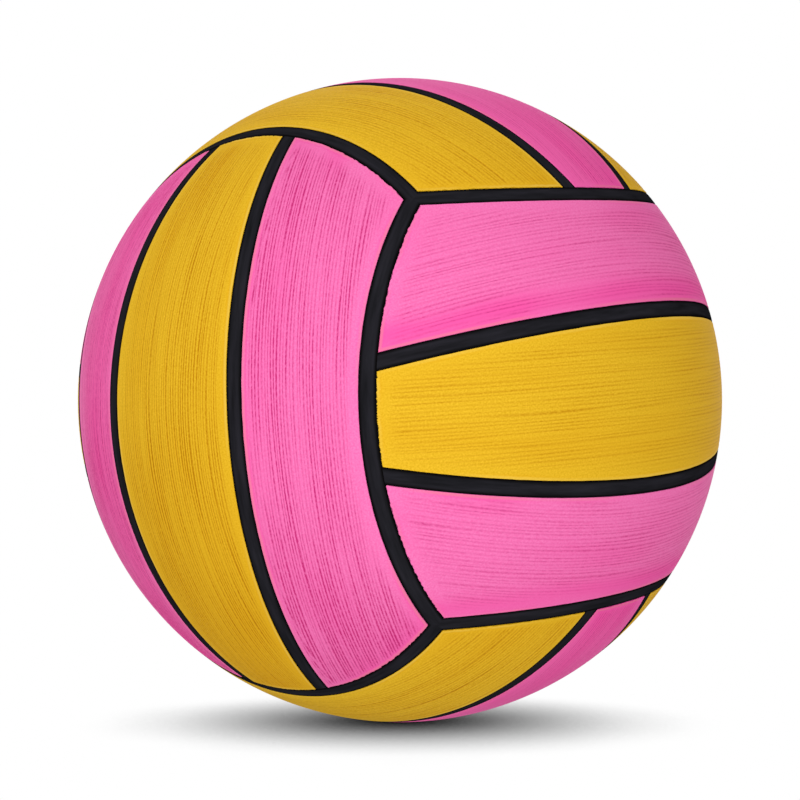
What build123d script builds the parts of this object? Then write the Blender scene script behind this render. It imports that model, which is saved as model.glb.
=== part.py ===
from build123d import *
import math
import os

# Water polo ball: eighteen rubber panels and the black strips in the seams between them, cemented on
# a thin carcass, over a thread winding, a bladder and a needle valve in the middle of the left face.
# Lengths are millimetres and angles degrees. The origin is the ball's centre, with +Z up.
# The faces lie as on a die: right +X, left -X, back +Y, front -Y, top +Z, bottom -Z.
# Each face has three panels side by side, and neighbouring faces run at right angles to each other.

# Ball and its layers, from the outside in
BALL_DIAMETER = 220.0
PANEL_THICKNESS = 0.9
CARCASS_THICKNESS = 0.7
WINDING_THICKNESS = 0.6
BLADDER_THICKNESS = 0.7
CEMENT_FILM = 0.05

# Seams, measured along the ball's surface
SEAM_WIDTH = 5.2
SEAM_RECESS = 0.15
SEAM_SIDE_GAP = 0.05
INNER_SEAM_SPACING = 53.9

# Valve plug and its needle guide
CORE_SHANK_DIAMETER = 5.0
CORE_SHANK_LENGTH = 11.0
CORE_HEAD_DIAMETER = 6.8
CORE_HEAD_THICKNESS = 1.4
CORE_CLEARANCE = 0.05
NEEDLE_GUIDE_DIAMETER = 2.1
NEEDLE_GUIDE_DEPTH = 8.0
FUNNEL_DIAMETER = 3.3
FUNNEL_DEPTH = 0.7

# Valve housing round the plug
NECK_WALL = 1.6
NECK_RECESS = 0.3
NECK_GAP = 0.1
FLANGE_MARGIN = 8.0
FLANGE_THICKNESS = 1.2
STEM_WALL = 2.4
STEM_FLOOR = 2.0
AIR_HOLE_DIAMETER = 3.0

# Radii of the layers
BALL_RADIUS = BALL_DIAMETER / 2
COVER_INSIDE = BALL_RADIUS - PANEL_THICKNESS
CARCASS_OUTSIDE = COVER_INSIDE - CEMENT_FILM
CARCASS_INSIDE = CARCASS_OUTSIDE - CARCASS_THICKNESS
WINDING_OUTSIDE = CARCASS_INSIDE - CEMENT_FILM
WINDING_INSIDE = WINDING_OUTSIDE - WINDING_THICKNESS
BLADDER_OUTSIDE = WINDING_INSIDE - CEMENT_FILM
BLADDER_INSIDE = BLADDER_OUTSIDE - BLADDER_THICKNESS
FLANGE_OUTSIDE = BLADDER_INSIDE - CEMENT_FILM
FLANGE_INSIDE = FLANGE_OUTSIDE - FLANGE_THICKNESS

# Width of a seam's strip, and angles at the ball's centre
STRIP_WIDTH = SEAM_WIDTH - 2 * SEAM_SIDE_GAP
EDGE_ANGLE = math.degrees(math.acos(1 / math.sqrt(3)))
INNER_SEAM_ANGLE = math.degrees(INNER_SEAM_SPACING / 2 / BALL_RADIUS)
SEAM_HALF_ANGLE = math.degrees(SEAM_WIDTH / 2 / BALL_RADIUS)
STRIP_HALF_ANGLE = math.degrees(STRIP_WIDTH / 2 / BALL_RADIUS)

# Valve radii, and heights from the ball's centre along the valve's axis
SHANK_RADIUS = CORE_SHANK_DIAMETER / 2
HEAD_RADIUS = CORE_HEAD_DIAMETER / 2
SHANK_BORE_RADIUS = SHANK_RADIUS + CORE_CLEARANCE
HEAD_BORE_RADIUS = HEAD_RADIUS + CORE_CLEARANCE
NECK_RADIUS = HEAD_BORE_RADIUS + NECK_WALL
NECK_HOLE_RADIUS = NECK_RADIUS + NECK_GAP
FLANGE_RADIUS = NECK_RADIUS + FLANGE_MARGIN
STEM_RADIUS = SHANK_BORE_RADIUS + STEM_WALL
AIR_HOLE_RADIUS = AIR_HOLE_DIAMETER / 2
GUIDE_RADIUS = NEEDLE_GUIDE_DIAMETER / 2
FUNNEL_RADIUS = FUNNEL_DIAMETER / 2
VALVE_FACE = BALL_RADIUS - NECK_RECESS
HEAD_SEAT = VALVE_FACE - CORE_HEAD_THICKNESS
SHANK_END = HEAD_SEAT - CORE_SHANK_LENGTH
BORE_FLOOR = SHANK_END - CORE_CLEARANCE
STEM_END = BORE_FLOOR - STEM_FLOOR
GUIDE_FLOOR = VALVE_FACE - NEEDLE_GUIDE_DEPTH

# Cutting tools reach past the ball's surface
TOOL_REACH = BALL_RADIUS + PANEL_THICKNESS

# Each face's plane: x along its panels, y across them, z outwards
FACES = {
    "right": Plane(origin=(0, 0, 0), x_dir=(0, 1, 0), z_dir=(1, 0, 0)),
    "left": Plane(origin=(0, 0, 0), x_dir=(0, -1, 0), z_dir=(-1, 0, 0)),
    "front": Plane(origin=(0, 0, 0), x_dir=(0, 0, -1), z_dir=(0, -1, 0)),
    "back": Plane(origin=(0, 0, 0), x_dir=(0, 0, 1), z_dir=(0, 1, 0)),
    "top": Plane(origin=(0, 0, 0), x_dir=(1, 0, 0), z_dir=(0, 0, 1)),
    "bottom": Plane(origin=(0, 0, 0), x_dir=(-1, 0, 0), z_dir=(0, 0, -1)),
}
# Names of a face's two outer panels, and of the faces next to them, at +y and at -y
SIDES = {
    "right": (("upper", "top"), ("lower", "bottom")),
    "left": (("upper", "top"), ("lower", "bottom")),
    "front": (("right", "right"), ("left", "left")),
    "back": (("right", "right"), ("left", "left")),
    "top": (("back", "back"), ("front", "front")),
    "bottom": (("back", "back"), ("front", "front")),
}
VALVE_FACE_NAME = "left"


def on_circle(radius, angle):
    """Point of a profile at a polar angle from the profile's vertical axis."""
    turn = math.radians(angle)
    return (radius * math.sin(turn), radius * math.cos(turn))


def height_on_sphere(radius, distance):
    """Height of a sphere's surface at a distance from the vertical axis."""
    return math.sqrt(radius**2 - distance**2)


def turned(outline):
    """Solid of revolution about Z from a closed outline of (distance, height) points."""
    return revolve(Plane.XZ * make_face(outline), Axis.Z)


def sector(axis, half_angle, joint_side=(0, 0, -1)):
    """Every direction within half_angle of the axis, as a cone with a round end.

    joint_side is where the cone's surface closes on itself, on the side away from the panels.
    """
    rim = on_circle(TOOL_REACH, half_angle)
    crown = ThreePointArc((0, TOOL_REACH), on_circle(TOOL_REACH, half_angle / 2), rim)
    cone = turned([Line((0, 0), (0, TOOL_REACH)), crown, Line(rim, (0, 0))])
    return Plane(origin=(0, 0, 0), x_dir=joint_side, z_dir=axis) * cone


def cover_shell(outside):
    """Whole hollow sphere from the cover's inside to the given radius, its poles at both panel ends."""
    shell = Sphere(outside) - Sphere(COVER_INSIDE)
    return Plane(origin=(0, 0, 0), x_dir=(0, 0, -1), z_dir=(1, 0, 0)) * shell


def face_cap(outside):
    """Part of the cover between the seams at the two ends of a face's panels."""
    return cover_shell(outside) & sector((0, 0, 1), EDGE_ANGLE - SEAM_HALF_ANGLE, (0, 1, 0))


def inner_seam_side(solid, side, offset, keep):
    """Part of a solid on one side of an inner seam, which is a great circle through the face's ends.

    The cut is parallel to the seam's middle plane, moved outwards across the face by the offset.
    """
    tilt = math.radians(INNER_SEAM_ANGLE)
    across = Vector(0, side * math.cos(tilt), -math.sin(tilt))
    return split(solid, bisect_by=Plane(origin=across * offset, z_dir=across), keep=keep)


def middle_panel():
    panel = face_cap(BALL_RADIUS)
    for side in (1, -1):
        panel = inner_seam_side(panel, side, -SEAM_WIDTH / 2, Keep.BOTTOM)
    return panel


def outer_panel():
    panel = inner_seam_side(face_cap(BALL_RADIUS), 1, SEAM_WIDTH / 2, Keep.TOP)
    return panel - sector((0, 1, 0), EDGE_ANGLE + SEAM_HALF_ANGLE)


def inner_seam_strip():
    strip = face_cap(BALL_RADIUS - SEAM_RECESS)
    strip = inner_seam_side(strip, 1, STRIP_WIDTH / 2, Keep.BOTTOM)
    return inner_seam_side(strip, 1, -STRIP_WIDTH / 2, Keep.TOP)


def edge_seam_strip():
    """Strip along the long edge of a face, mitred where three strips meet at the face's corners."""
    ring = cover_shell(BALL_RADIUS - SEAM_RECESS) & sector((0, 1, 0), EDGE_ANGLE + STRIP_HALF_ANGLE)
    ring -= sector((0, 1, 0), EDGE_ANGLE - STRIP_HALF_ANGLE)
    for end in (1, -1):
        for normal in ((2 * end, -1, -1), (end, 1, -2)):
            setback = Vector(normal).normalized() * -SEAM_SIDE_GAP
            mitre = Plane(origin=setback, z_dir=normal)
            ring = split(ring, bisect_by=mitre, keep=Keep.BOTTOM)
    return ring


def pierced_shell(outside, inside):
    """Hollow sphere with a round hole for the valve's neck, about Z."""
    outer_rim = (NECK_HOLE_RADIUS, height_on_sphere(outside, NECK_HOLE_RADIUS))
    inner_rim = (NECK_HOLE_RADIUS, height_on_sphere(inside, NECK_HOLE_RADIUS))
    outline = [
        ThreePointArc(outer_rim, (outside, 0), (0, -outside)),
        Line((0, -outside), (0, -inside)),
        ThreePointArc((0, -inside), (inside, 0), inner_rim),
        Line(inner_rim, outer_rim),
    ]
    return turned(outline)


def flange_arc(radius, start, end):
    """Arc of the flange's curved face between two distances from the valve's axis."""
    points = []
    for distance in (start, (start + end) / 2, end):
        points.append((distance, height_on_sphere(radius, distance)))
    return ThreePointArc(*points)


def valve_housing():
    """Neck through the layers, curved flange under the bladder, and a bored stem with an air hole."""
    top = flange_arc(FLANGE_OUTSIDE, NECK_RADIUS, FLANGE_RADIUS)
    underside = flange_arc(FLANGE_INSIDE, FLANGE_RADIUS, STEM_RADIUS)
    outline = [
        Line((HEAD_BORE_RADIUS, VALVE_FACE), (NECK_RADIUS, VALVE_FACE)),
        Line((NECK_RADIUS, VALVE_FACE), top @ 0),
        top,
        Line(top @ 1, underside @ 0),
        underside,
        Line(underside @ 1, (STEM_RADIUS, STEM_END)),
        Polyline(
            (STEM_RADIUS, STEM_END),
            (AIR_HOLE_RADIUS, STEM_END),
            (AIR_HOLE_RADIUS, BORE_FLOOR),
            (SHANK_BORE_RADIUS, BORE_FLOOR),
            (SHANK_BORE_RADIUS, HEAD_SEAT),
            (HEAD_BORE_RADIUS, HEAD_SEAT),
            (HEAD_BORE_RADIUS, VALVE_FACE),
        ),
    ]
    return turned(outline)


def valve_core():
    """Headed plug with a funnel and a blind needle guide."""
    outline = Polyline(
        (0, SHANK_END),
        (SHANK_RADIUS, SHANK_END),
        (SHANK_RADIUS, HEAD_SEAT),
        (HEAD_RADIUS, HEAD_SEAT),
        (HEAD_RADIUS, VALVE_FACE),
        (FUNNEL_RADIUS, VALVE_FACE),
        (GUIDE_RADIUS, VALVE_FACE - FUNNEL_DEPTH),
        (GUIDE_RADIUS, GUIDE_FLOOR),
        (0, GUIDE_FLOOR),
        close=True,
    )
    return turned([outline])


def face_pieces(face):
    """Three panels, two inner seam strips and two edge seam strips of one face, by name."""
    pieces = {f"panel_{face}_middle": FACES[face] * MIDDLE_PANEL}
    for half_turn, (side, neighbour) in zip((0, 180), SIDES[face]):
        place = FACES[face] * Rot(0, 0, half_turn)
        pieces[f"panel_{face}_{side}"] = place * OUTER_PANEL
        pieces[f"inner_seam_{face}_{side}"] = place * INNER_SEAM_STRIP
        pieces[f"edge_seam_{face}_{neighbour}"] = place * EDGE_SEAM_STRIP
    return pieces


MIDDLE_PANEL = middle_panel()
OUTER_PANEL = outer_panel()
INNER_SEAM_STRIP = inner_seam_strip()
EDGE_SEAM_STRIP = edge_seam_strip()

pieces = {}
for face in FACES:
    pieces.update(face_pieces(face))

# The valve stands on the left face's outward axis, in a hole through every layer
valve_place = FACES[VALVE_FACE_NAME]
valve_panel = f"panel_{VALVE_FACE_NAME}_middle"
neck_hole = Cylinder(NECK_HOLE_RADIUS, TOOL_REACH, align=(Align.CENTER, Align.CENTER, Align.MIN))
pieces[valve_panel] = valve_place * (MIDDLE_PANEL - neck_hole)
pieces["carcass"] = valve_place * pierced_shell(CARCASS_OUTSIDE, CARCASS_INSIDE)
pieces["winding"] = valve_place * pierced_shell(WINDING_OUTSIDE, WINDING_INSIDE)
pieces["bladder"] = valve_place * pierced_shell(BLADDER_OUTSIDE, BLADDER_INSIDE)
pieces["valve_housing"] = valve_place * valve_housing()
pieces["valve_core"] = valve_place * valve_core()

os.makedirs("parts", exist_ok=True)
for name, piece in pieces.items():
    piece.label = name
    export_step(piece, f"parts/{name}.step")
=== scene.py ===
"""Water polo ball: grained rubber panels, crowned black seams and a needle valve."""

import math
from types import SimpleNamespace

import bmesh
import bpy
import numpy as np
from mathutils import Matrix, Vector


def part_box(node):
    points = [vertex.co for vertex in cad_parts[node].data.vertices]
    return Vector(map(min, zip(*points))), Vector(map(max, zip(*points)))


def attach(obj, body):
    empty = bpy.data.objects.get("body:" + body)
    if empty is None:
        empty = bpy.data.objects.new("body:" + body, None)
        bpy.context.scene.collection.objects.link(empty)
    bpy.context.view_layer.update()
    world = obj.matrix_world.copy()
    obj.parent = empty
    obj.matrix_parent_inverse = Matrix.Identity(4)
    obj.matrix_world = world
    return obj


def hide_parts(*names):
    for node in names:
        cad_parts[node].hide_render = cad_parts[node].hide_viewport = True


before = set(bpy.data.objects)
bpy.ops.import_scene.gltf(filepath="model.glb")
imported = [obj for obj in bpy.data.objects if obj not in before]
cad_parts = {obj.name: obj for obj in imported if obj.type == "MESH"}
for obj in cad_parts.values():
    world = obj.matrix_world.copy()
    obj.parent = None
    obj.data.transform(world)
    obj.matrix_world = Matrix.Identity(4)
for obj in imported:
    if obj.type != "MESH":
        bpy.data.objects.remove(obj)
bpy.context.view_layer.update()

# Lengths are metres and angles radians. The origin is the middle of the ball, with +Z up.
MM = 0.001


def node_radii(name):
    """Least and greatest distance of a CAD node's vertices from the middle of the ball."""
    lengths = [v.co.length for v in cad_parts[name].data.vertices]
    return min(lengths), max(lengths)


# Layers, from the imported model
PANEL_UNDERSIDE, RADIUS = node_radii("panel_top_middle")
STRIP_UNDERSIDE = node_radii("edge_seam_right_top")[0]
VALVE_FACE = -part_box("valve_housing")[0].x
STEM_END = -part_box("valve_housing")[1].x
FLANGE_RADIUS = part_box("valve_housing")[1].y
SHANK_END = -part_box("valve_core")[1].x
HEAD_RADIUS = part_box("valve_core")[1].y

# Layout of the cover, measured along the ball's surface
SEAM_WIDTH = 5.2 * MM
STRIP_WIDTH = 5.1 * MM
INNER_SEAM_SPACING = 53.9 * MM
HALF_SEAM = SEAM_WIDTH / 2
HALF_STRIP = STRIP_WIDTH / 2
INNER_TILT = INNER_SEAM_SPACING / 2 / RADIUS
EDGE_LATITUDE = math.asin(1 / math.sqrt(3))
EDGE_POLAR = math.pi / 2 - EDGE_LATITUDE

# Mesh steps
ROW_STEP = 0.16 * MM
COLUMN_STEP = 0.9 * MM
EDGE_STEPS = np.array([0, 0.03, 0.07, 0.12, 0.18, 0.3, 0.5, 0.75, 1.0, 1.3, 1.6, 2.0, 2.5]) * MM
UNDERSIDE_STEP = 3.4 * MM
STRIP_ROWS = 21
STRIP_UNDERSIDE_ROWS = 5
STRIP_COLUMN_STEP = 1.2 * MM
TURNED_SEGMENTS = 96
FLANGE_POINTS = 7
SHARP_ANGLE = math.radians(62)
END_ROUNDS = 24

# Edges of a panel
EDGE_ROUND = 0.16 * MM
# Width of the painted highlight along a panel's rim
RIM_HIGHLIGHT_WIDTH = 0.5 * MM
CREASE_PLACE = 1.2 * MM
CREASE_WIDTH = 0.35 * MM
CREASE_DEPTH = 0.09 * MM
END_TEETH = 0.32 * MM
SIDE_TEETH = 0.08 * MM
TEETH_SMOOTHING = 2
TEETH_REACH = 3 * TEETH_SMOOTHING
TEETH_SPARE = 4 * TEETH_SMOOTHING
TEETH_SPREAD = 3

# Grain of a panel: its grooves, and the noise that varies them, as lengths across and along the panel
DENSE_PITCH = 1.0 * MM
OPEN_PITCH = 1.2 * MM
GRAIN_DEPTH = 0.08 * MM
GRAIN_LEAN = 0.4
WANDER = (2.4 * MM, 80 * MM)
WANDER_TURN = 1.0
LINE = (0.8 * MM, 40 * MM)
LINE_SHARE = 0.17
BUNDLE = (4 * MM, 30 * MM)
BUNDLE_SHARE = 0.13
GROOVE_FORCE = 0.66
MOST_FORCE = 1.1
PATCH = (14 * MM, 45 * MM)
NOISE_CELLS = (560, 440)
NOISE_STEP = (0.14 * MM, 0.55 * MM)

# Strength of the grain, and the distances from a panel's edges between which it sets in
STRONG_GRAIN = 1.4
MIDDLE_GRAIN = 1.3
CAP_GRAIN = {"top": 0.7, "bottom": 0.9}
SOFT_GRAIN = 0.6
GRAIN_GROWTH = 0.15
NEAR_END_MARGIN = (1.5 * MM, 7.0 * MM)
FAR_END_MARGIN = (0.6 * MM, 3.0 * MM)
INNER_MARGIN = (0.4 * MM, 2.4 * MM)
OUTER_MARGIN = (1.8 * MM, 6.0 * MM)
MIDDLE_MARGIN = (1.4 * MM, 5.0 * MM)

# What comes and goes with a panel's patches: the usual share, its change and,
# for the grain, the least share
PATCHY_GRAIN = (0.85, 0.12, 0.6)
PATCHY_EDGE = (0.5, 0.5)
PATCHY_STRIP = (0.85, 0.15)
PATCHY_END = (0.15, 0.15)
PATCHY_COLOUR = (0, 0.12)

# Seam strips: depths, places across as shares of half the width, and the length of the dip at an end
CROWN_TOP = 0.02 * MM
CROWN_DROP = 0.05 * MM
SHOULDER_DROP = 0.12 * MM
SHOULDER = 0.7
SHADE_START = SHOULDER - 0.15
SHADE_FULL = 0.95
CROWN_END = 2.2 * MM

# Valve, in the panel in the middle of the left face
VALVE_PANEL = "panel_left_middle"
VALVE_HOLE = 5.15 * MM
NECK_RADIUS = 5.05 * MM
HEAD_BORE = 3.45 * MM
SHANK_BORE = 2.55 * MM
SHANK_RADIUS = 2.5 * MM
STEM_RADIUS = 4.95 * MM
AIR_HOLE = 1.5 * MM
GUIDE_RADIUS = 1.05 * MM
GUIDE_DEPTH = 8 * MM
FUNNEL_RADIUS = 1.65 * MM
FUNNEL_DEPTH = 0.7 * MM
HEAD_THICKNESS = 1.4 * MM
STEM_FLOOR = 2 * MM
FLANGE_DEPTH = 2.8 * MM
FLANGE_THICKNESS = 1.2 * MM
HEAD_SEAT = VALVE_FACE - HEAD_THICKNESS
BORE_FLOOR = STEM_END + STEM_FLOOR
GUIDE_FLOOR = VALVE_FACE - GUIDE_DEPTH
FLANGE_OUTSIDE = VALVE_FACE - FLANGE_DEPTH
SMALL_ROUND = 0.25 * MM
ROUND_STEPS = 3
VALVE_BLOCK = 7 * MM
VALVE_SMOOTH = (7.6 * MM, 10 * MM)
# Rings round the hole: shares of the way in to it, and turns of its rounded rim
FLAT_RING_SHARES = (0.35, 0.7, 1)
RIM_RING_DEGREES = (30, 60, 90)

# Along the panels, outward, and the sides at the ends of the axis across, with the faces they meet
FACES = {
    "right": ((0, 1, 0), (1, 0, 0), (("upper", "top"), ("lower", "bottom"))),
    "left": ((0, -1, 0), (-1, 0, 0), (("upper", "top"), ("lower", "bottom"))),
    "front": ((0, 0, -1), (0, -1, 0), (("right", "right"), ("left", "left"))),
    "back": ((0, 0, 1), (0, 1, 0), (("right", "right"), ("left", "left"))),
    "top": ((1, 0, 0), (0, 0, 1), (("back", "back"), ("front", "front"))),
    "bottom": ((-1, 0, 0), (0, 0, -1), (("back", "back"), ("front", "front"))),
}
PINK_MIDDLES = ("top", "bottom")
DENSE_FACES = ("front", "back")
EVEN_FACES = ("right", "left")
SEEDS_OF_A_FACE = 10
INNER_SEED = 3
EDGE_SEED = 6

# A strip where a panel is deeper in colour, partly as painted shade: the long side it lies by, low (-1)
# or high (1), the distance from that side, half the strip's width and how much deeper.
# A side panel's low side is its inner one.
DEEP_AND_SHADED_STRIPS = {
    "middle": (-1, 10 * MM, 5 * MM, 0.4),
    "upper": (-1, 4 * MM, 5 * MM, 1.25),
    "lower": (1, 4 * MM, 5 * MM, 1.1),
    "right": (-1, 5 * MM, 5 * MM, 0.15),
    "left": (-1, 13 * MM, 12 * MM, 1.0),
    "front": (-1, 5 * MM, 5 * MM, 0.1),
    "back": (1, 5 * MM, 5 * MM, 0.6),
}
# Such a strip's share halfway along the panel, and its change toward the far end
STRIP_SHARE = (0.85, 0.15)
# How much deeper some panels are toward their far end, partly as painted shade, and the shares of half
# the length that it grows between
DEEP_AND_SHADED_ENDS = {"middle": (0.6, -0.3, 0.8), "front": (0.25, 0.5, 1.0), "back": (0.4, 0.4, 1.0)}
NO_DEEP_END = (0, 0, 1)
# Distance from both ends over which a deeper colour fades
DEEP_REACH = 7 * MM
# The way along each axis in which a panel's far end lies
FAR_WAY = np.array([1, 1, -1])


def smooth_step(low, high, value):
    """0 below low, 1 above high, eased between."""
    share = np.clip((value - low) / (high - low), 0, 1)
    return share * share * (3 - 2 * share)


def bell(value, middle, width):
    """1 at the middle, falling to nothing a few widths away."""
    return np.exp(-(((value - middle) / width) ** 2))


def patchy(patches, usual, change, least=0):
    """Share of something that comes and goes with a panel's patches."""
    return np.clip(usual + change * patches, least, 1)


def direction(along, across):
    """Unit vectors in a face's own axes from the angles along and across its panels."""
    return np.stack(
        [
            np.sin(along),
            np.cos(along) * np.sin(across),
            np.cos(along) * np.cos(across),
        ],
        axis=-1,
    )


def face_axes(face, turned):
    """Matrix whose columns are a face's axes; turned is the same face from its other side."""
    along, outward, _ = FACES[face]
    axes = np.stack([along, np.cross(outward, along), outward], axis=1).astype(float)
    if turned:
        axes[:, :2] *= -1
    return axes


# Seeded noise over a panel


def smooth_noise(rng, across, along):
    """Noise of unit spread whose patches are about as long as given across and along a panel."""
    white = rng.standard_normal(NOISE_CELLS)
    across_waves = np.fft.fftfreq(NOISE_CELLS[0], NOISE_STEP[0])[:, None] * across
    along_waves = np.fft.rfftfreq(NOISE_CELLS[1], NOISE_STEP[1])[None, :] * along
    keep = np.exp(-(across_waves**2) - along_waves**2)
    noise = np.fft.irfft2(np.fft.rfft2(white) * keep, NOISE_CELLS)
    return noise / noise.std()


def sampled(noise, across, along):
    """The noise at places on a panel, in metres from its middle, blended between cells."""
    row = across / NOISE_STEP[0] + NOISE_CELLS[0] / 2
    column = along / NOISE_STEP[1] + NOISE_CELLS[1] / 2
    i = np.floor(row).astype(int)
    j = np.floor(column).astype(int)
    a = row - i
    b = column - j
    near = (1 - b) * noise[i, j] + b * noise[i, j + 1]
    far = (1 - b) * noise[i + 1, j] + b * noise[i + 1, j + 1]
    return (1 - a) * near + a * far


def teeth(rng, count):
    """Ragged line between 0 and 1 over a count of steps, smoothed over a few of them."""
    line = rng.standard_normal(count + 2 * TEETH_SPARE)
    reach = np.arange(-TEETH_REACH, TEETH_REACH + 1)
    weights = np.exp(-((reach / TEETH_SMOOTHING) ** 2))
    line = np.convolve(line, weights, mode="same")[TEETH_SPARE : TEETH_SPARE + count]
    return np.clip(0.5 + line / line.std() / TEETH_SPREAD, 0, 1)


# Meshes


def shares(length, step):
    """Places from 0 to 1 over a length, close together near both ends."""
    inner = np.arange(EDGE_STEPS[-1] + step, length - EDGE_STEPS[-1] - step / 2, step)
    places = np.concatenate([EDGE_STEPS, inner, length - EDGE_STEPS[::-1]])
    return places / length


def thinned(places, step):
    """Numbers of the places about one step apart, with the first and the last."""
    count = round((places[-1] - places[0]) / step)
    wanted = np.linspace(places[0], places[-1], count + 1)
    return np.unique([int(np.abs(places - w).argmin()) for w in wanted])


def between(numbers, first, last):
    """The numbers from first to last, in either direction."""
    if last < first:
        return [n for n in reversed(numbers) if last <= n <= first]
    return [n for n in numbers if first <= n <= last]


class Sheet:
    """A closed thin body: a fine upper grid, an underside on some of its places, and walls."""

    def __init__(self, upper, under, rows, columns, hole=None):
        self.count_rows, self.count_columns = upper.shape[:2]
        self.rows = list(rows)
        self.columns = list(columns)
        self.points = [upper.reshape(-1, 3), under[np.ix_(rows, columns)].reshape(-1, 3)]
        self.under_start = self.count_rows * self.count_columns
        self.total = self.under_start + len(self.rows) * len(self.columns)
        self.hole = hole
        self.faces = []
        self.grid_faces()
        self.walls()

    def top(self, i, j):
        """Number of an upper point."""
        return i * self.count_columns + j

    def under(self, i, j):
        """Number of an underside point."""
        return self.under_start + self.rows.index(i) * len(self.columns) + self.columns.index(j)

    def in_hole(self, i, j):
        """Whether the face that starts at a place is left out."""
        if self.hole is None:
            return False
        i0, i1, j0, j1 = self.hole
        return i0 <= i < i1 and j0 <= j < j1

    def grid_faces(self):
        """Faces of the upper grid and of the underside, apart from the hole."""
        for i in range(self.count_rows - 1):
            for j in range(self.count_columns - 1):
                if not self.in_hole(i, j):
                    a = self.top(i, j)
                    b = a + self.count_columns
                    self.faces.append((a, a + 1, b + 1, b))
        for i, next_i in zip(self.rows, self.rows[1:]):
            for j, next_j in zip(self.columns, self.columns[1:]):
                if not self.in_hole(i, j):
                    corners = ((i, j), (next_i, j), (next_i, next_j), (i, next_j))
                    self.faces.append(tuple(self.under(*corner) for corner in corners))

    def border(self, i0, i1, j0, j1):
        """Places round a block of the grid, by row and column."""
        every_row = range(self.count_rows)
        every_column = range(self.count_columns)
        places = [(i0, j) for j in between(every_column, j0, j1)[:-1]]
        places += [(i, j1) for i in between(every_row, i0, i1)[:-1]]
        places += [(i1, j) for j in between(every_column, j1, j0)[:-1]]
        places += [(i, j0) for i in between(every_row, i1, i0)[:-1]]
        return places

    def runs(self, places):
        """Numbers of a border's places in each stretch from one place of the underside to the next."""
        on_under = [n for n, (i, j) in enumerate(places) if i in self.rows and j in self.columns]
        for first, last in zip(on_under, on_under[1:] + [len(places)]):
            yield [n % len(places) for n in range(first, last + 1)]

    def walls(self):
        """One wall face for each step of the underside's border."""
        places = self.border(0, self.count_rows - 1, 0, self.count_columns - 1)
        for run in self.runs(places):
            below = [self.under(*places[run[0]]), self.under(*places[run[-1]])]
            self.faces.append(tuple(below + [self.top(*places[n]) for n in reversed(run)]))

    def add_points(self, points):
        """Adds points and gives their numbers."""
        start = self.total
        self.points.append(points)
        self.total += len(points)
        return list(range(start, self.total))

    def all_points(self):
        """Points of the upper grid, of the underside and those added later."""
        return np.concatenate(self.points)


def make_mesh(name, points, faces, material):
    """A smooth-shaded mesh object from points in metres and faces; sharp only at its square edges."""
    mesh = bpy.data.meshes.new(name)
    mesh.from_pydata(points.tolist(), [], faces)
    mesh.validate()
    mesh.polygons.foreach_set("use_smooth", np.ones(len(mesh.polygons), bool))
    mesh.set_sharp_from_angle(angle=SHARP_ANGLE)
    mesh.materials.append(material)
    obj = bpy.data.objects.new(name, mesh)
    bpy.context.scene.collection.objects.link(obj)
    return obj


def add_finish_and_painted_light(obj, finish_and_painted_light, place):
    """Stores what the materials read: four shares, and the place in millimetres with a seed."""
    stored = (("finish_and_painted_light", "FLOAT_COLOR", "color", finish_and_painted_light), ("place", "FLOAT_VECTOR", "vector", place))
    for name, kind, field, given in stored:
        values = np.zeros((len(obj.data.vertices), given.shape[1]), np.float32)
        values[: len(given)] = given
        obj.data.attributes.new(name, kind, "POINT").data.foreach_set(field, values.ravel())


def drop_loose_points(obj):
    """Takes out the points that no face uses."""
    mesh = bmesh.new()
    mesh.from_mesh(obj.data)
    loose = [v for v in mesh.verts if not v.link_faces]
    bmesh.ops.delete(mesh, geom=loose, context="VERTS")
    mesh.to_mesh(obj.data)
    mesh.free()


def take_over(obj, node, body):
    """Puts a piece in the place of its CAD node."""
    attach(obj, body)
    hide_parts(node)


# Panels


def panel_sides(middle, along):
    """Angles across a face of a panel's two long edges."""
    seam = np.arcsin(HALF_SEAM / (RADIUS * np.cos(along)))
    if middle:
        return seam - INNER_TILT, INNER_TILT - seam
    outer = math.sin(EDGE_LATITUDE - HALF_SEAM / RADIUS)
    return INNER_TILT + seam, np.arcsin(outer / np.cos(along))


def panel_end(middle, across_share):
    """Angle along a face at which a panel ends, for each share of its width."""
    end_height = math.sin(EDGE_LATITUDE + HALF_SEAM / RADIUS)
    along = np.full_like(across_share, EDGE_LATITUDE)
    for _ in range(END_ROUNDS):
        low, high = panel_sides(middle, along)
        reached = np.arccos(end_height / np.cos(low + across_share * (high - low)))
        along = (along + reached) / 2
    return along


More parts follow.
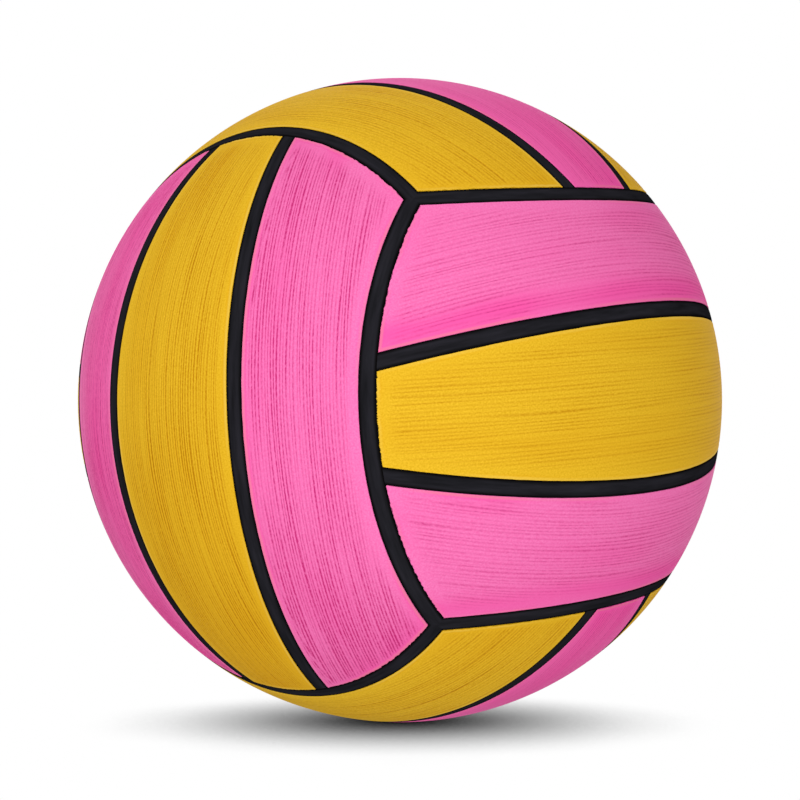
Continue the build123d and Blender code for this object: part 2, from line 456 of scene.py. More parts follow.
def panel_grid(face, side, turned, rng):
    """Places on a panel's upper side by row and column, and their distances from its edges."""
    middle = side == "middle"
    low, high = panel_sides(middle, np.zeros(1))
    width = float((high - low)[0]) * RADIUS
    length = 2 * float(panel_end(middle, np.full(1, 0.5))[0]) * RADIUS
    across_share = shares(width, ROW_STEP)
    along_share = 2 * shares(length, COLUMN_STEP) - 1
    rows, columns = len(across_share), len(along_share)

    # Edges stay at the seam or behind it and are finely toothed, most of all at the ends
    end = panel_end(middle, across_share)
    last_end, first_end = [end - END_TEETH * teeth(rng, rows) / RADIUS for _ in range(2)]
    reach = np.where(along_share[None, :] > 0, last_end[:, None], first_end[:, None])
    along = along_share[None, :] * reach
    low, high = panel_sides(middle, along)
    low = low + SIDE_TEETH * teeth(rng, columns)[None, :] / RADIUS
    high = high - SIDE_TEETH * teeth(rng, columns)[None, :] / RADIUS
    across = low + across_share[:, None] * (high - low)
    outward = direction(along, across)

    # Straight lines of the grain run along the panel, a little nearer to the line of its inner side
    panel_tilt = float(np.mean(across[:, columns // 2]))
    tilt = 0 if middle else INNER_TILT + GRAIN_LEAN * (panel_tilt - INNER_TILT)
    level = outward[..., 1] * math.cos(tilt) - outward[..., 2] * math.sin(tilt)
    height = outward[..., 1] * math.sin(tilt) + outward[..., 2] * math.cos(tilt)

    low_gap = RADIUS * np.cos(along) * (across - low)
    high_gap = RADIUS * np.cos(along) * (high - across)
    side_gap = np.minimum(low_gap, high_gap)
    end_gap = RADIUS * (reach - np.abs(along))
    return SimpleNamespace(
        rows=rows,
        columns=columns,
        width_places=across_share * width,
        length_places=along_share * length / 2,
        middle_places=(across_share - 0.5) * width,
        far_share=along_share[None, :] * float(face_axes(face, turned)[:, 0] @ FAR_WAY),
        outward=outward,
        low_gap=low_gap,
        high_gap=high_gap,
        side_gap=side_gap,
        end_gap=end_gap,
        gap=np.minimum(side_gap, end_gap),
        across=RADIUS * np.arcsin(level),
        along=RADIUS * np.arctan2(outward[..., 0], height),
    )


def grain_strength(face, middle):
    """How strong the grain of a panel is."""
    if face in DENSE_FACES:
        return MIDDLE_GRAIN if middle else STRONG_GRAIN
    return SOFT_GRAIN if middle else CAP_GRAIN.get(face, SOFT_GRAIN)


def panel_grain(grid, face, middle, rng):
    """Patches of a panel, and the share of the grain's depth at each of its places."""
    patches = sampled(smooth_noise(rng, *PATCH), grid.across, grid.along)
    wander = WANDER_TURN * sampled(smooth_noise(rng, *WANDER), grid.across, grid.along)
    force = LINE_SHARE * smooth_noise(rng, *LINE) + BUNDLE_SHARE * smooth_noise(rng, *BUNDLE)
    force = np.clip(GROOVE_FORCE + sampled(force, grid.across, grid.along), 0, MOST_FORCE)
    pitch = DENSE_PITCH if face in DENSE_FACES else OPEN_PITCH
    wave = np.cos(2 * math.pi * grid.across / pitch + wander)
    # The groove's share sets both its depth and the painted shade in it
    groove_shade = (0.5 + 0.5 * wave) ** 2 * force

    low_margin, high_margin = (MIDDLE_MARGIN, MIDDLE_MARGIN) if middle else (INNER_MARGIN, OUTER_MARGIN)
    inside = smooth_step(*low_margin, grid.low_gap) * smooth_step(*high_margin, grid.high_gap)
    near_end = smooth_step(*NEAR_END_MARGIN, grid.end_gap)
    inside = inside * np.where(grid.far_share < 0, near_end, smooth_step(*FAR_END_MARGIN, grid.end_gap))
    growth = 0 if face in EVEN_FACES else GRAIN_GROWTH
    strength = grain_strength(face, middle) * (1 + growth * grid.far_share)
    return patches, groove_shade * (inside * patchy(patches, *PATCHY_GRAIN) * strength)


def edge_rounding(grid):
    """Depth below the ball's surface at a panel's rounded edges."""
    side_turn = np.clip(1 - grid.side_gap / EDGE_ROUND, 0, 1)
    end_turn = np.clip(1 - grid.end_gap / EDGE_ROUND, 0, 1)
    turn = np.clip(side_turn**2 + end_turn**2, 0, 1)
    return EDGE_ROUND * (1 - np.sqrt(1 - turn))


def deep_and_shaded_share(grid, side, patches):
    """Share of the deeper colour over a panel: in patches, near its ends, along a strip and toward its
    far end, the last two partly painted shade.
    """
    strip_side, strip_place, strip_width, strip_share = DEEP_AND_SHADED_STRIPS[side]
    end_share, end_start, end_full = DEEP_AND_SHADED_ENDS.get(side, NO_DEEP_END)
    usual, change = STRIP_SHARE
    strip_gap = grid.low_gap if strip_side < 0 else grid.high_gap
    # The strip and the deeper far end are partly painted shade
    strip = bell(strip_gap, strip_place, strip_width) * strip_share
    strip = strip * (usual + change * grid.far_share) * patchy(patches, *PATCHY_STRIP)
    near_end = np.exp(-grid.end_gap / DEEP_REACH)
    deep_and_shade = patchy(patches, *PATCHY_COLOUR) + patchy(patches, *PATCHY_END) * near_end
    deep_and_shade = deep_and_shade + end_share * smooth_step(end_start, end_full, grid.far_share)
    return np.clip(np.maximum(deep_and_shade, strip), 0, 1)


def panel_piece(face, side, turned, material, slot, seed):
    """One panel with its grain, rounded edges, crease and deeper colour, a painted highlight on its rim
    and painted shade in its grooves and crease, in place of its CAD node.
    """
    rng = np.random.default_rng(seed)
    node = f"panel_{face}_{side}"
    has_valve = node == VALVE_PANEL
    grid = panel_grid(face, side, turned, rng)
    patches, grain = panel_grain(grid, face, side == "middle", rng)
    if has_valve:
        grain = grain * smooth_step(*VALVE_SMOOTH, np.hypot(grid.across, grid.along))
    # The crease dips the surface, and the material darkens it as painted shade
    crease = bell(grid.gap, CREASE_PLACE, CREASE_WIDTH) * patchy(patches, *PATCHY_EDGE)
    # Painted highlight: a lighter line along the rounded edge
    rim_highlight = smooth_step(0, EDGE_ROUND, grid.gap) * (1 - smooth_step(RIM_HIGHLIGHT_WIDTH, CREASE_PLACE, grid.gap))
    rim_highlight = rim_highlight * patchy(patches, *PATCHY_EDGE)
    deep_and_shade = deep_and_shaded_share(grid, side, patches)
    finish_and_painted_light = np.stack([grain, rim_highlight, crease, deep_and_shade], axis=-1).reshape(-1, 4)
    seeds = np.full_like(deep_and_shade, seed)
    place = np.stack([grid.along / MM, grid.across / MM, seeds], axis=-1).reshape(-1, 3)

    depth = edge_rounding(grid) + CREASE_DEPTH * crease + GRAIN_DEPTH * grain
    upper = grid.outward * (RADIUS - depth)[..., None]
    under_rows = thinned(grid.width_places, UNDERSIDE_STEP)
    under_columns = thinned(grid.length_places, UNDERSIDE_STEP)
    hole = None
    if has_valve:
        hole = block_edges(under_rows, grid.middle_places)
        hole += block_edges(under_columns, grid.length_places)
    sheet = Sheet(upper, grid.outward * PANEL_UNDERSIDE, under_rows, under_columns, hole)
    if has_valve:
        bore_panel(sheet)
        # The colour goes on over the rings round the hole, which have no grain
        others = sheet.all_points()[grid.rows * grid.columns :]
        near_row = np.abs(grid.across[:, grid.columns // 2, None] - others[:, 1]).argmin(axis=0)
        near_column = np.abs(grid.along[grid.rows // 2, :, None] - others[:, 0]).argmin(axis=0)
        plain = np.zeros(len(others))
        more = np.stack([plain, plain, plain, deep_and_shade[near_row, near_column]], axis=-1)
        finish_and_painted_light = np.concatenate([finish_and_painted_light, more])
        more = np.stack([others[:, 0] / MM, others[:, 1] / MM, np.full(len(others), seed)], axis=-1)
        place = np.concatenate([place, more])

    points = sheet.all_points() @ face_axes(face, turned).T
    obj = make_mesh("grained_" + node, points, sheet.faces, material)
    add_finish_and_painted_light(obj, finish_and_painted_light, place)
    if has_valve:
        drop_loose_points(obj)
    take_over(obj, node, "ball")


def block_edges(numbers, places):
    """The underside's two rows or columns nearest to the edges of the block left out for the valve."""
    edges = (-VALVE_BLOCK, VALVE_BLOCK)
    return [int(min(numbers, key=lambda n: abs(places[n] - edge))) for edge in edges]


def bore_panel(sheet):
    """Rings from the block left out of a panel to a round hole with a rounded rim, and its wall."""
    places = sheet.border(*sheet.hole)
    points = sheet.all_points()
    loop = np.array([points[sheet.top(*p)] for p in places])
    bearing = np.arctan2(loop[:, 1], loop[:, 0])
    block = np.hypot(loop[:, 0], loop[:, 1])
    ring_shapes = [(share, 0) for share in FLAT_RING_SHARES]
    ring_shapes += [(1, math.radians(degrees)) for degrees in RIM_RING_DEGREES]
    rings = [[sheet.top(*p) for p in places]]
    for share, turn in ring_shapes:
        around = VALVE_HOLE + EDGE_ROUND * (1 - math.sin(turn))
        radius = block + share * (around - block)
        height = np.sqrt(RADIUS**2 - radius**2) - EDGE_ROUND * (1 - math.cos(turn))
        ring = np.stack([radius * np.cos(bearing), radius * np.sin(bearing), height], axis=-1)
        rings.append(sheet.add_points(ring))
    count = len(places)
    foot_height = math.sqrt(PANEL_UNDERSIDE**2 - VALVE_HOLE**2)
    foot = [VALVE_HOLE * np.cos(bearing), VALVE_HOLE * np.sin(bearing), np.full(count, foot_height)]
    feet = sheet.add_points(np.stack(foot, axis=-1))
    rings.append(feet)
    for outer, inner in zip(rings, rings[1:]):
        for n in range(count):
            m = (n + 1) % count
            sheet.faces.append((outer[n], outer[m], inner[m], inner[n]))
    for run in sheet.runs(places):
        start = sheet.under(*places[run[0]])
        stop = sheet.under(*places[run[-1]])
        sheet.faces.append((start, *[feet[n] for n in run], stop))


# Seam strips


def crown(side):
    """Depth below the ball's surface across a strip, side running from -1 to 1."""
    return CROWN_TOP + CROWN_DROP * side**2 + SHOULDER_DROP * smooth_step(SHOULDER, 1, np.abs(side))


def strip_columns(length):
    """Places from -1 to 1 along a strip."""
    return np.linspace(-1, 1, 2 * round(length / 2 / STRIP_COLUMN_STEP) + 1)


def strip_piece(node, face, turned, outward, depth, material, seed):
    """One crowned strip in place of its CAD node."""
    upper = outward * (RADIUS - depth)[..., None]
    rows, columns = depth.shape
    under_rows = np.unique(np.linspace(0, rows - 1, STRIP_UNDERSIDE_ROWS).round().astype(int))
    under_columns = np.unique(np.linspace(0, columns - 1, (columns + 1) // 2).round().astype(int))
    sheet = Sheet(upper, outward * STRIP_UNDERSIDE, under_rows, under_columns)
    points = sheet.all_points() @ face_axes(face, turned).T
    obj = make_mesh("crowned_" + node, points, sheet.faces, material)
    side = np.linspace(-1, 1, rows)[:, None] + np.zeros((1, columns))
    run = np.arange(columns)[None, :] * STRIP_COLUMN_STEP / MM + np.zeros((rows, 1))
    shade = smooth_step(SHADE_START, SHADE_FULL, np.abs(side))
    none = np.zeros_like(shade)
    finish_and_painted_light = np.stack([shade, none, none, none], axis=-1).reshape(-1, 4)
    place = np.stack([run, side * HALF_STRIP / MM, np.full_like(run, seed)], axis=-1).reshape(-1, 3)
    add_finish_and_painted_light(obj, finish_and_painted_light, place)
    take_over(obj, node, "ball")


def inner_seam_piece(node, face, turned, material, seed):
    """Strip between two panels of one face; its ends dip to meet the strips between faces."""
    side = np.linspace(-1, 1, STRIP_ROWS)
    offset = side * HALF_STRIP / RADIUS
    end_height = math.sin(EDGE_LATITUDE + HALF_STRIP / RADIUS)
    level = np.sin(offset) * math.sin(INNER_TILT)
    end = np.arccos((end_height + level) / (np.cos(offset) * math.cos(INNER_TILT)))
    share = strip_columns(2 * RADIUS * end.mean())
    along = share[None, :] * end[:, None]
    middle = direction(along, np.full_like(along, INNER_TILT))
    sideways = np.array([0, math.cos(INNER_TILT), -math.sin(INNER_TILT)])
    outward = middle * np.cos(offset)[:, None, None] + sideways * np.sin(offset)[:, None, None]
    end_gap = RADIUS * (end[:, None] - np.abs(along))
    dip = 1 - smooth_step(0, CROWN_END, end_gap)
    ridge = crown(side)[:, None]
    depth = ridge + dip * (crown(1) - ridge)
    strip_piece(node, face, turned, outward, depth, material, seed)


def edge_seam_piece(node, face, turned, material, seed):
    """Strip between two faces, mitred where three strips meet."""
    side = np.linspace(-1, 1, STRIP_ROWS)
    polar = EDGE_POLAR + side * HALF_STRIP / RADIUS
    # In the face's axes along, across and outward, the mitres lie in two planes through the
    # corner's diagonal: 2 along = across + outward, and 2 outward = along + across
    height = np.cos(polar) / (math.sqrt(5) * np.sin(polar))
    toward_face = math.atan2(1, 2) + np.arcsin(height)
    toward_neighbour = math.atan2(2, 1) - np.arcsin(height)
    end = np.minimum(toward_face, toward_neighbour)
    share = strip_columns(2 * RADIUS * math.sin(EDGE_POLAR) * end.mean())
    turn = share[None, :] * end[:, None]
    outward = np.stack(
        [
            np.sin(polar)[:, None] * np.sin(turn),
            np.cos(polar)[:, None] + np.zeros_like(turn),
            np.sin(polar)[:, None] * np.cos(turn),
        ],
        axis=-1,
    )
    outward = outward[::-1]
    depth = crown(side)[:, None] + np.zeros_like(turn)
    strip_piece(node, face, turned, outward, depth, material, seed)


# Valve


def rounded(profile, radius):
    """A profile with its corners turned over a third of a side at most; those on the axis stay."""
    points = [np.array(p, float) for p in profile]
    result = []
    for before, corner, after in zip(points[-1:] + points[:-1], points, points[1:] + points[:1]):
        if corner[0] == 0:
            result.append(corner)
            continue
        before_length = np.linalg.norm(before - corner)
        after_length = np.linalg.norm(after - corner)
        reach = min(radius, before_length / 3, after_length / 3)
        start = corner + reach * (before - corner) / before_length
        stop = corner + reach * (after - corner) / after_length
        for t in np.linspace(0, 1, ROUND_STEPS + 1):
            result.append((1 - t) ** 2 * start + 2 * t * (1 - t) * corner + t**2 * stop)
    return np.array(result)


def turned_piece(node, body, profile, material):
    """A body turned about the valve's axis from points (radius, distance out), in place of its node."""
    bearings = np.linspace(0, 2 * math.pi, TURNED_SEGMENTS, endpoint=False)
    rings = []
    points = []
    for radius, out in profile:
        if radius == 0:
            rings.append([len(points)] * TURNED_SEGMENTS)
            points.append((-out, 0, 0))
        else:
            rings.append(list(range(len(points), len(points) + TURNED_SEGMENTS)))
            points += [(-out, radius * math.cos(b), radius * math.sin(b)) for b in bearings]
    faces = []
    for ring, after in zip(rings, rings[1:] + rings[:1]):
        for n in range(TURNED_SEGMENTS):
            m = (n + 1) % TURNED_SEGMENTS
            corners = list(dict.fromkeys((ring[n], after[n], after[m], ring[m])))
            if len(corners) > 2:
                faces.append(tuple(corners))
    obj = make_mesh("moulded_" + node, np.array(points), faces, material)
    take_over(obj, node, body)


def flange_line(outside, first, last):
    """Points of the flange's curved face from one radius to another."""
    radii = np.linspace(first, last, FLANGE_POINTS)
    return [(r, math.sqrt(outside**2 - r**2)) for r in radii]


def valve_profiles():
    """Profiles of the housing and of the plug, as (radius, distance out)."""
    housing = [
        (HEAD_BORE, HEAD_SEAT),
        (SHANK_BORE, HEAD_SEAT),
        (SHANK_BORE, BORE_FLOOR),
        (AIR_HOLE, BORE_FLOOR),
        (AIR_HOLE, STEM_END),
        (STEM_RADIUS, STEM_END),
    ]
    housing += flange_line(FLANGE_OUTSIDE - FLANGE_THICKNESS, FLANGE_RADIUS, STEM_RADIUS)[::-1]
    housing += flange_line(FLANGE_OUTSIDE, NECK_RADIUS, FLANGE_RADIUS)[::-1]
    housing += [(NECK_RADIUS, VALVE_FACE), (HEAD_BORE, VALVE_FACE)]
    plug = [
        (0, SHANK_END),
        (SHANK_RADIUS, SHANK_END),
        (SHANK_RADIUS, HEAD_SEAT),
        (HEAD_RADIUS, HEAD_SEAT),
        (HEAD_RADIUS, VALVE_FACE),
        (FUNNEL_RADIUS, VALVE_FACE),
        (GUIDE_RADIUS, VALVE_FACE - FUNNEL_DEPTH),
        (GUIDE_RADIUS, GUIDE_FLOOR),
        (0, GUIDE_FLOOR),
    ]
    return rounded(housing, SMALL_ROUND), rounded(plug, SMALL_ROUND)


# Materials

# Noise: cells per millimetre along and across a piece and the step from seed to seed,
# and the range that it fills
SPECK_SCALE = (0.9, 1.9, 7.3)
FINE_SCALE = (1.8, 1.8, 5.1)
STREAK_SCALE = (0.06, 0.5, 3.7)
SEAM_FINE_SCALE = (3.0, 3.0, 5.1)
NOISE_ROUGHNESS = 0.6
NOISE_RANGE = (0.3, 0.7)
FINE_RANGE = (0.3, 0.75)
FULL_RANGE = (0.0, 1.0)

# Shares of the grain's specks, of the painted shade in creases and of the painted highlight on rims
SPECK_RANGE = (0.4, 1.6)
CREASE_SHADE_SHARE = 0.55
RIM_HIGHLIGHT_SHARE = 0.7

# Roughness from one end of the noise to the other, and its change in moulded rubber
PANEL_ROUGHNESS = (0.6, 0.72)
SEAM_ROUGHNESS = (0.6, 0.75)
ROUGHNESS_CHANGE = 0.08

# Seams: colours of the rubber, of the bloom on it and of its shaded sides
SEAM_BLACK = (0.010, 0.010, 0.012)
SEAM_BLOOM = (0.022, 0.021, 0.027)
SEAM_SHADE = (0.003, 0.0025, 0.0025)

# Moulded rubbers: dark and light colours, cells of the mottle per metre and roughness
PLAIN_RUBBERS = {
    "valve_rubber": ((0.012, 0.012, 0.013), (0.022, 0.022, 0.024), 700.0, 0.5),
    "plug_rubber": ((0.020, 0.020, 0.022), (0.036, 0.036, 0.040), 900.0, 0.45),
    "carcass_rubber": ((0.006, 0.006, 0.006), (0.012, 0.012, 0.012), 400.0, 0.7),
    "butyl_rubber": ((0.010, 0.010, 0.011), (0.020, 0.020, 0.021), 300.0, 0.4),
}

# Thread of the winding: turns of its three layers, scale of their bands and colours
THREAD_TURNS = ((0.3, 0.9, 0.2), (1.4, 0.5, 0.8), (0.6, 1.9, 1.1))
THREAD_SCALE = 320.0
THREAD_SHADE = (0.42, 0.40, 0.35)
THREAD_PALE = (0.72, 0.70, 0.64)


def add_node(tree, kind, inputs=None, **settings):
    """A node with its settings, and each input set to a value or linked from a socket."""
    node = tree.nodes.new(kind)
    for name, value in settings.items():
        setattr(node, name, value)
    for name, value in (inputs or {}).items():
        fill(tree, node.inputs[name], value)
    return node


def fill(tree, socket, value):
    """Sets an input to a value, or links it from another socket."""
    if isinstance(value, bpy.types.NodeSocket):
        tree.links.new(value, socket)
    else:
        socket.default_value = value


def new_material(name):
    """An empty material and its node tree."""
    material = bpy.data.materials.new(name)
    material.use_nodes = True
    tree = material.node_tree
    tree.nodes.clear()
    return material, tree


def close_material(tree, **inputs):
    """Ends a material with one shader; an underscore in an input's name stands for a space."""
    named = {name.replace("_", " "): value for name, value in inputs.items()}
    shader = add_node(tree, "ShaderNodeBsdfPrincipled", named)
    add_node(tree, "ShaderNodeOutputMaterial", {"Surface": shader.outputs["BSDF"]})


def blended(tree, share, first, second):
    """Colour that goes from the first to the second with a share from 0 to 1."""
    mix = add_node(tree, "ShaderNodeMix", data_type="RGBA")
    sockets = {socket.identifier: socket for socket in mix.inputs}
    fill(tree, sockets["Factor_Float"], share)
    for name, colour in (("A_Color", first), ("B_Color", second)):
        fill(tree, sockets[name], (*colour, 1) if isinstance(colour, tuple) else colour)
    return next(socket for socket in mix.outputs if socket.identifier == "Result_Color")


def remapped(tree, value, old_range, new_range):
    """A value moved from one range to another and kept inside it."""
    names = ("From Min", "From Max", "To Min", "To Max")
    inputs = {"Value": value, **dict(zip(names, (*old_range, *new_range)))}
    return add_node(tree, "ShaderNodeMapRange", inputs).outputs["Result"]


def combined(tree, operation, first, second):
    """Two values put together by one step of arithmetic and kept between 0 and 1."""
    maths = add_node(tree, "ShaderNodeMath", operation=operation, use_clamp=True)
    fill(tree, maths.inputs[0], first)
    fill(tree, maths.inputs[1], second)
    return maths.outputs["Value"]


def stretched_noise(tree, vector, scale, detail):
    """Noise over a vector scaled by its own amount on each axis."""
    mapping = add_node(tree, "ShaderNodeMapping", {"Vector": vector, "Scale": scale})
    inputs = {"Scale": 1.0, "Detail": detail, "Roughness": NOISE_ROUGHNESS}
    inputs["Vector"] = mapping.outputs["Vector"]
    return add_node(tree, "ShaderNodeTexNoise", inputs).outputs["Fac"]


def bumped(tree, height, strength, distance):
    """Normal over a height that stands out by a distance."""
    inputs = {"Height": height, "Strength": strength, "Distance": distance}
    return add_node(tree, "ShaderNodeBump", inputs).outputs["Normal"]


def stored_finish_and_painted_light(tree):
    """What a piece stores for its material: the four shares of its finish and painted light, and the
    place.
    """
    finish_and_painted_light = add_node(tree, "ShaderNodeAttribute", attribute_name="finish_and_painted_light")
    parts = add_node(tree, "ShaderNodeSeparateColor", {"Color": finish_and_painted_light.outputs["Color"]})
    finish_and_light_shares = [parts.outputs[name] for name in ("Red", "Green", "Blue")]
    finish_and_light_shares.append(finish_and_painted_light.outputs["Alpha"])
    place = add_node(tree, "ShaderNodeAttribute", attribute_name="place").outputs["Vector"]
    return finish_and_light_shares, place


def panel_material(name, ridge, dull, groove_shade, rim_highlight, deep_and_shade):
    """Grained rubber with painted shade in the grooves and the crease, a painted highlight on the rim,
    and a deeper colour in patches, near the ends, along a strip and toward the far end that is partly
    painted shade.
    """
    material, tree = new_material(name)
    (grain, rim_highlight_share, crease, deep_and_shade_share), place = stored_finish_and_painted_light(tree)
    specks = stretched_noise(tree, place, SPECK_SCALE, detail=2.0)
    fine = stretched_noise(tree, place, FINE_SCALE, detail=2.0)
    grain = combined(tree, "MULTIPLY", grain, remapped(tree, specks, NOISE_RANGE, SPECK_RANGE))
    colour = blended(tree, remapped(tree, fine, FINE_RANGE, FULL_RANGE), ridge, dull)
    colour = blended(tree, deep_and_shade_share, colour, deep_and_shade)
    # Painted shade in the grooves, set by the grain's share
    colour = blended(tree, grain, colour, groove_shade)
    # Painted shade in the crease, in the deeper colour
    colour = blended(tree, combined(tree, "MULTIPLY", crease, CREASE_SHADE_SHARE), colour, deep_and_shade)
    # Painted highlight on the rim
    colour = blended(tree, combined(tree, "MULTIPLY", rim_highlight_share, RIM_HIGHLIGHT_SHARE), colour, rim_highlight)
    close_material(
        tree,
        Base_Color=colour,
        Roughness=remapped(tree, specks, NOISE_RANGE, PANEL_ROUGHNESS),
        Specular_IOR_Level=0.03,
        Normal=bumped(tree, fine, strength=0.35, distance=0.06 * MM),
    )
    return material


def seam_material(name):
    """Black rubber with a dull bloom along its crown."""
    material, tree = new_material(name)
    (shade, *_), place = stored_finish_and_painted_light(tree)
    streaks = stretched_noise(tree, place, STREAK_SCALE, detail=4.0)
    fine = stretched_noise(tree, place, SEAM_FINE_SCALE, detail=2.0)
    colour = blended(tree, remapped(tree, streaks, NOISE_RANGE, FULL_RANGE), SEAM_BLACK, SEAM_BLOOM)
    close_material(
        tree,
        Base_Color=blended(tree, shade, colour, SEAM_SHADE),
        Roughness=remapped(tree, streaks, NOISE_RANGE, SEAM_ROUGHNESS),
        Specular_IOR_Level=0.0,
        Normal=bumped(tree, fine, strength=0.3, distance=0.05 * MM),
    )
    return material


def plain_rubber(name, dark, light, scale, roughness):
    """Moulded rubber with a faint mottle, for the pieces under the cover and the valve."""
    material, tree = new_material(name)
    spot = add_node(tree, "ShaderNodeTexCoord").outputs["Object"]
    mottle = stretched_noise(tree, spot, (scale, scale, scale), detail=4.0)
    rough_range = (roughness - ROUGHNESS_CHANGE, roughness + ROUGHNESS_CHANGE)
    close_material(
        tree,
        Base_Color=blended(tree, remapped(tree, mottle, NOISE_RANGE, FULL_RANGE), dark, light),
        Roughness=remapped(tree, mottle, NOISE_RANGE, rough_range),
        Specular_IOR_Level=0.25,
        Normal=bumped(tree, mottle, strength=0.25, distance=0.05 * MM),
    )
    return material


def thread_material(name):
    """Wound nylon: bands of pale thread crossing in three directions."""
    material, tree = new_material(name)
    spot = add_node(tree, "ShaderNodeTexCoord").outputs["Object"]
    threads = None
    for turn in THREAD_TURNS:
        mapping = add_node(tree, "ShaderNodeMapping", {"Vector": spot, "Rotation": turn})
        inputs = {"Scale": THREAD_SCALE, "Distortion": 1.5, "Detail": 1.0}
        inputs["Vector"] = mapping.outputs["Vector"]
        wave = add_node(tree, "ShaderNodeTexWave", inputs).outputs["Fac"]
        threads = wave if threads is None else combined(tree, "MULTIPLY", threads, wave)
    close_material(
        tree,
        Base_Color=blended(tree, threads, THREAD_SHADE, THREAD_PALE),
        Roughness=0.5,
        Specular_IOR_Level=0.3,
        Normal=bumped(tree, threads, strength=0.5, distance=0.2 * MM),
    )
    return material


yellow = panel_material(
    "yellow_rubber",
    ridge=(0.920, 0.558, 0.029),
    dull=(0.71, 0.402, 0.009),
    groove_shade=(0.53, 0.220, 0.002),
    rim_highlight=(0.90, 0.58, 0.08),
    deep_and_shade=(0.79, 0.410, 0.010),
)
pink = panel_material(
    "pink_rubber",
    ridge=(1.00, 0.225, 0.54),
    dull=(0.94, 0.140, 0.42),
    groove_shade=(0.60, 0.028, 0.190),
    rim_highlight=(0.90, 0.205, 0.32),
    deep_and_shade=(0.97, 0.100, 0.41),
)
seam_rubber = seam_material("seam_rubber")
plain_rubbers = {name: plain_rubber(name, *look) for name, look in PLAIN_RUBBERS.items()}
nylon_thread = thread_material("nylon_thread")

# Cover
for number, face in enumerate(FACES):
    middle_finish, side_finish = (yellow, "yellow_rubber"), (pink, "pink_rubber")
    if face in PINK_MIDDLES:
        middle_finish, side_finish = side_finish, middle_finish
    panel_piece(face, "middle", False, *middle_finish, seed=SEEDS_OF_A_FACE * number)
    for turned, (side, neighbour) in zip((False, True), FACES[face][2]):
        seed = SEEDS_OF_A_FACE * number + 1 + turned
        panel_piece(face, side, turned, *side_finish, seed=seed)
        inner_seam_piece(f"inner_seam_{face}_{side}", face, turned, seam_rubber, seed + INNER_SEED)
        edge_seam_piece(f"edge_seam_{face}_{neighbour}", face, turned, seam_rubber, seed + EDGE_SEED)

# Valve and the layers under the cover
housing_profile, plug_profile = valve_profiles()
turned_piece("valve_housing", "ball", housing_profile, plain_rubbers["valve_rubber"])
turned_piece("valve_core", "valve_plug", plug_profile, plain_rubbers["plug_rubber"])
layers = {
    "carcass": plain_rubbers["carcass_rubber"],
    "winding": nylon_thread,
    "bladder": plain_rubbers["butyl_rubber"],
}
for node, material in layers.items():
    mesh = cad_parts[node].data
    mesh.materials.clear()
    mesh.materials.append(material)

# Camera, a little above the middle of the ball and tilted to one side;
# lens and sensor are in millimetres
CAMERA_AZIMUTH = math.radians(40.207)
CAMERA_ELEVATION = math.radians(2.722)
CAMERA_ROLL = math.radians(-3.285)
CAMERA_DISTANCE = 5.607 * RADIUS
LENS = 79.97
SENSOR = 36
CLIP_START = 0.01
CLIP_END = 200
away = math.cos(CAMERA_ELEVATION)
back = Vector(
    (
        math.sin(CAMERA_AZIMUTH) * away,
        -math.cos(CAMERA_AZIMUTH) * away,
        math.sin(CAMERA_ELEVATION),
    )
)
level_right = Vector((math.cos(CAMERA_AZIMUTH), math.sin(CAMERA_AZIMUTH), 0))
level_up = back.cross(level_right)
right = math.cos(CAMERA_ROLL) * level_right + math.sin(CAMERA_ROLL) * level_up
up = back.cross(right)


def turned_to(x_axis, y_axis, z_axis, place):
    """Matrix of an object with these axes at a place."""
    matrix = Matrix((x_axis, y_axis, z_axis)).transposed().to_4x4()
    matrix.translation = place
    return matrix


camera_data = bpy.data.cameras.new("camera")
camera_data.lens = LENS
camera_data.sensor_width = SENSOR
camera_data.clip_start = CLIP_START
camera_data.clip_end = CLIP_END
camera = bpy.data.objects.new("camera", camera_data)
camera.matrix_world = turned_to(right, up, back, back * CAMERA_DISTANCE)
bpy.context.scene.collection.objects.link(camera)
bpy.context.scene.camera = camera

# Soft studio light: degrees to the right of the camera's line and above it, distance and size
# in radii of the ball, and watts
SOFT_BOXES = {
    "front_light": (0, -5, 6.2, 3.0, 1.95),
    "upper_left_light": (-50, 50, 6, 3.5, 0.65),
    "back_light": (180, 50, 7, 4, 0.6),
    "rear_light": (180, -3, 6.2, 3.0, 2.0),
    "left_light": (-125, 0, 6.2, 3.0, 0.35),
    "right_light": (140, 0, 6.2, 3.0, 0.4),
}


def soft_box(name, toward, distance, size, watts):
    """A square soft light that faces the ball."""
    data = bpy.data.lights.new(name, "AREA")
    data.shape = "SQUARE"
    data.size = size
    data.energy = watts
    obj = bpy.data.objects.new(name, data)
    toward = toward.normalized()
    side = up.cross(toward).normalized()
    obj.matrix_world = turned_to(side, toward.cross(side), toward, toward * distance)
    bpy.context.scene.collection.objects.link(obj)


def camera_side(azimuth, elevation):
    """Direction by its degrees to the right of the camera's line and above it."""
    a = math.radians(azimuth)
    e = math.radians(elevation)
    return back * (math.cos(a) * math.cos(e)) + right * (math.sin(a) * math.cos(e)) + up * math.sin(e)


for name, (azimuth, elevation, distance, size, watts) in SOFT_BOXES.items():
    soft_box(name, camera_side(azimuth, elevation), distance * RADIUS, size * RADIUS, watts)

# White surroundings, and a white floor under the ball that glows white for the camera and keeps its
# shadow, painted from ambient occlusion
WORLD_LIGHT = 0.54
FLOOR_TILT = math.radians(4)
FLOOR_SIZE = 60
FLOOR_OPEN = 0.526
SHADOW_DEPTH = 1.08
SHADOW_REACH = 10 * RADIUS
SHADOW_SAMPLES = 16
WHITE = (1, 1, 1, 1)


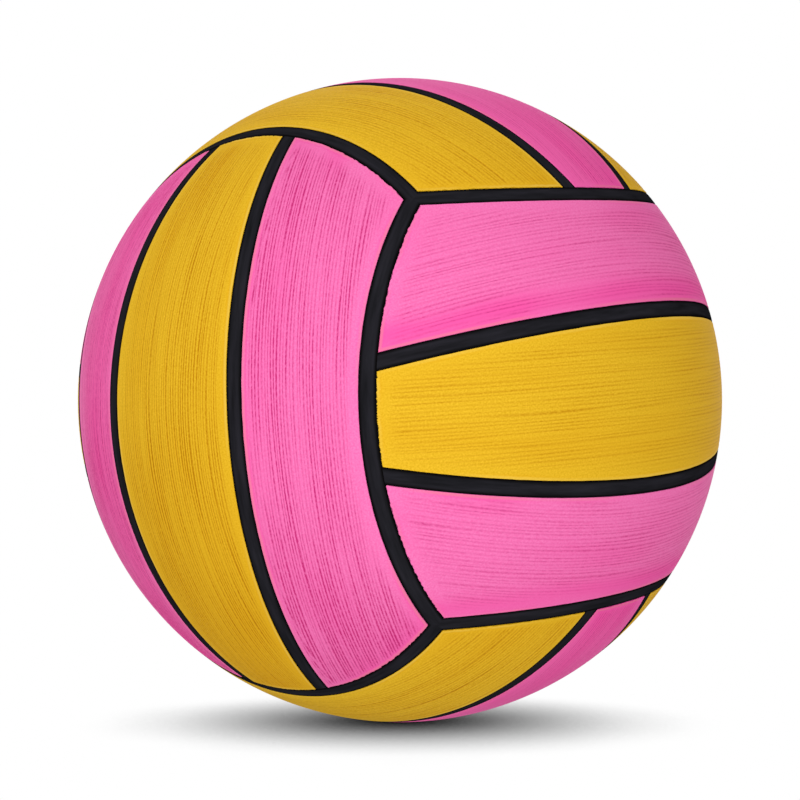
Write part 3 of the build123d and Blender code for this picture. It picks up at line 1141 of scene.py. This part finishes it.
def seen_directly(tree):
    """1 for the camera's rays, and for those off a shiny surface or through a clear one."""
    path = add_node(tree, "ShaderNodeLightPath").outputs
    shown = combined(tree, "MAXIMUM", path["Is Camera Ray"], path["Is Glossy Ray"])
    return combined(tree, "MAXIMUM", shown, path["Is Transmission Ray"])


def either_shader(tree, share, first, second):
    """The first shader where the share is 0, and the second where it is 1."""
    mix = add_node(tree, "ShaderNodeMixShader", {"Fac": share})
    tree.links.new(first, mix.inputs[1])
    tree.links.new(second, mix.inputs[2])
    return mix.outputs["Shader"]


world = bpy.data.worlds.new("studio")
bpy.context.scene.world = world
world.use_nodes = True
sky = world.node_tree
sky.nodes.clear()
soft = add_node(sky, "ShaderNodeBackground", {"Color": WHITE, "Strength": WORLD_LIGHT})
white = add_node(sky, "ShaderNodeBackground", {"Color": WHITE, "Strength": 1.0})
shaders = [node.outputs["Background"] for node in (soft, white)]
surroundings = either_shader(sky, seen_directly(sky), *shaders)
add_node(sky, "ShaderNodeOutputWorld", {"Surface": surroundings})

floor_material, tree = new_material("floor")
reach = {"Distance": SHADOW_REACH}
shadow = add_node(tree, "ShaderNodeAmbientOcclusion", reach, samples=SHADOW_SAMPLES)
shadow = add_node(tree, "ShaderNodeGamma", {"Color": shadow.outputs["Color"], "Gamma": SHADOW_DEPTH})
shadow = remapped(tree, shadow.outputs["Color"], (0.0, FLOOR_OPEN), FULL_RANGE)
# The floor's glow carries a painted shadow, worked out from ambient occlusion round the ball
glow_with_painted_shadow = add_node(tree, "ShaderNodeEmission", {"Color": shadow, "Strength": 1.0}).outputs["Emission"]
clear = add_node(tree, "ShaderNodeBsdfTransparent").outputs["BSDF"]
shown = either_shader(tree, seen_directly(tree), clear, glow_with_painted_shadow)
behind = add_node(tree, "ShaderNodeNewGeometry").outputs["Backfacing"]
one_sided = either_shader(tree, behind, shown, clear)
add_node(tree, "ShaderNodeOutputMaterial", {"Surface": one_sided})

half = FLOOR_SIZE / 2
floor_points = np.array([(-half, -half, 0), (half, -half, 0), (half, half, 0), (-half, half, 0)])
floor = make_mesh("floor", floor_points, [(0, 1, 2, 3)], floor_material)
floor_normal = math.cos(FLOOR_TILT) * up - math.sin(FLOOR_TILT) * back
floor.matrix_world = turned_to(right, floor_normal.cross(right), floor_normal, -floor_normal * RADIUS)

bpy.context.scene.view_settings.view_transform = "Standard"
